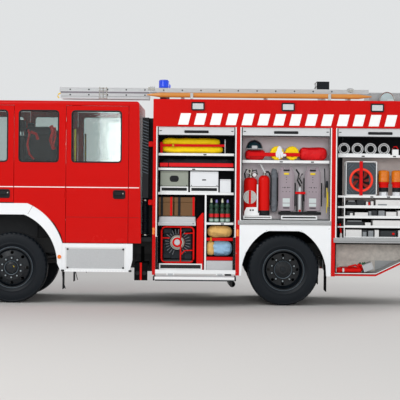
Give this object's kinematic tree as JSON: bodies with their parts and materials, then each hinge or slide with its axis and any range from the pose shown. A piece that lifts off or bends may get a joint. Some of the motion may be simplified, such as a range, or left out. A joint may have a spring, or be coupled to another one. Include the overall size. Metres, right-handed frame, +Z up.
{
  "type": "fire engine",
  "caption": "Crew-cab fire engine with open equipment lockers, fold-down steps, roof ladders, roof box and a telescopic light mast.",
  "frame": {"origin": "on the ground, in the middle of the footprint", "axes": "+X to the rear, +Y to the vehicle's right, +Z up"},
  "size_m": [7.6, 3.55, 3.2803],
  "materials": {
    "red_paint": "gloss",
    "white_paint": "gloss",
    "chassis_black": "satin",
    "aluminium": "satin",
    "dark_plastic": "matt",
    "engine_iron": "matt",
    "spring_steel": "satin",
    "tyre_rubber": "matt",
    "flap_rubber": "matt",
    "window_glass": "clear",
    "lamp_lens": "clear",
    "signal_lens": "gloss",
    "beacon_blue": "gloss",
    "seat_fabric": "woven",
    "varnished_wood": "varnished",
    "kit_plastic": "satin",
    "kit_canvas": "woven",
    "kit_metal": "satin"
  },
  "bodies": {
    "truck": {"air_intake": "dark_plastic", "axles": "spring_steel", "beacons": "beacon_blue", "body_shell": "red_paint", "body_walls": "aluminium", "cab_floor": "dark_plastic", "cab_glass": "window_glass", "cab_roof": "red_paint", "cab_steps": "aluminium", "cab_walls": "red_paint", "chassis_frame": "chassis_black", "dashboard": "dark_plastic", "drive_train": "engine_iron", "front_bumper": "white_paint", "grille": "dark_plastic", "kit_bags": "kit_canvas", "kit_cases": "kit_plastic", "kit_machines": "kit_metal", "lamps_clear": "lamp_lens", "mast_base": "aluminium", "mirrors": "dark_plastic", "mud_guards": "flap_rubber", "opening_frames": "aluminium", "pole_ladder": "varnished_wood", "rear_guard": "white_paint", "roof_box": "aluminium", "roof_ladder": "aluminium", "seats": "seat_fabric", "shelves": "aluminium", "shutters": "aluminium", "signal_lamps": "signal_lens", "tanks_and_exhaust": "chassis_black", "wings": "white_paint"},
    "door_front_left": {"door_front_left": "red_paint", "glass_front_left": "window_glass"},
    "door_crew_left": {"door_crew_left": "red_paint", "glass_crew_left": "window_glass"},
    "steering_left": {"knuckle_left": "engine_iron"},
    "wheel_front_left": {"tyre_front_left": "tyre_rubber", "rim_front_left": "chassis_black"},
    "wheel_rear_left": {"tyres_rear_left": "tyre_rubber", "rims_rear_left": "chassis_black"},
    "flap_left": {"step_flap_left": "aluminium"},
    "door_front_right": {"door_front_right": "red_paint", "glass_front_right": "window_glass"},
    "door_crew_right": {"door_crew_right": "red_paint", "glass_crew_right": "window_glass"},
    "steering_right": {"knuckle_right": "engine_iron"},
    "wheel_front_right": {"tyre_front_right": "tyre_rubber", "rim_front_right": "chassis_black"},
    "wheel_rear_right": {"tyres_rear_right": "tyre_rubber", "rims_rear_right": "chassis_black"},
    "flap_right": {"step_flap_right": "aluminium"},
    "box_lid": {"roof_box_lid": "aluminium"},
    "mast_lower": {"mast_tube_lower": "aluminium"},
    "mast_upper": {"mast_tube_upper": "aluminium"},
    "mast_turret": {"mast_head": "dark_plastic"},
    "mast_lights": {"mast_lamps": "lamp_lens"}
  },
  "joints": [
    {"name": "steer_left", "type": "hinge", "parent": "truck", "child": "steering_left", "pos_m": [-2.44, -0.86, 0.5095], "axis": [0, 0, 1], "range_deg": [-35, 35]},
    {"name": "spin_front_left", "type": "hinge", "parent": "steering_left", "child": "wheel_front_left", "pos_m": [-2.44, -1.01, 0.5095], "axis": [0, 1, 0], "continuous": true},
    {"name": "spin_rear_left", "type": "hinge", "parent": "truck", "child": "wheel_rear_left", "pos_m": [1.475, -0.9295, 0.5095], "axis": [0, 1, 0], "continuous": true},
    {"name": "open_door_front_left", "type": "hinge", "parent": "truck", "child": "door_front_left", "pos_m": [-3.463, -1.151, 2.06], "axis": [0, 0, -1], "range_deg": [0, 75]},
    {"name": "open_door_crew_left", "type": "hinge", "parent": "truck", "child": "door_crew_left", "pos_m": [-1.671, -1.151, 2.06], "axis": [0, 0, -1], "range_deg": [0, 75]},
    {"name": "raise_flap_left", "type": "hinge", "parent": "truck", "child": "flap_left", "pos_m": [0.205, -1.268, 0.44], "axis": [-1, 0, 0], "range_deg": [0, 90]},
    {"name": "steer_right", "type": "hinge", "parent": "truck", "child": "steering_right", "pos_m": [-2.44, 0.86, 0.5095], "axis": [0, 0, 1], "range_deg": [-35, 35]},
    {"name": "spin_front_right", "type": "hinge", "parent": "steering_right", "child": "wheel_front_right", "pos_m": [-2.44, 1.01, 0.5095], "axis": [0, 1, 0], "continuous": true},
    {"name": "spin_rear_right", "type": "hinge", "parent": "truck", "child": "wheel_rear_right", "pos_m": [1.475, 0.9295, 0.5095], "axis": [0, 1, 0], "continuous": true},
    {"name": "open_door_front_right", "type": "hinge", "parent": "truck", "child": "door_front_right", "pos_m": [-3.463, 1.151, 2.06], "axis": [0, 0, 1], "range_deg": [0, 75]},
    {"name": "open_door_crew_right", "type": "hinge", "parent": "truck", "child": "door_crew_right", "pos_m": [-1.671, 1.151, 2.06], "axis": [0, 0, 1], "range_deg": [0, 75]},
    {"name": "raise_flap_right", "type": "hinge", "parent": "truck", "child": "flap_right", "pos_m": [0.205, 1.268, 0.44], "axis": [1, 0, 0], "range_deg": [0, 90]},
    {"name": "open_box_lid", "type": "hinge", "parent": "truck", "child": "box_lid", "pos_m": [3.11, 0.014, 3.076], "axis": [-1, 0, 0], "range_deg": [0, 80]},
    {"name": "raise_mast_lower", "type": "slide", "parent": "truck", "child": "mast_lower", "axis": [0, 0, 1], "range_m": [0, 1.6]},
    {"name": "raise_mast_upper", "type": "slide", "parent": "mast_lower", "child": "mast_upper", "axis": [0, 0, 1], "range_m": [0, 1.6]},
    {"name": "turn_mast_head", "type": "hinge", "parent": "mast_upper", "child": "mast_turret", "pos_m": [2.075, 0, 3.1], "axis": [0, 0, 1], "range_deg": [-170, 170]},
    {"name": "tilt_mast_lights", "type": "hinge", "parent": "mast_turret", "child": "mast_lights", "pos_m": [2.075, 0, 3.2003], "axis": [0, 1, 0], "range_deg": [-45, 90]}
  ],
  "couplings": [
    {"joint": "steer_right", "follows": "steer_left", "ratio": 1}
  ]
}
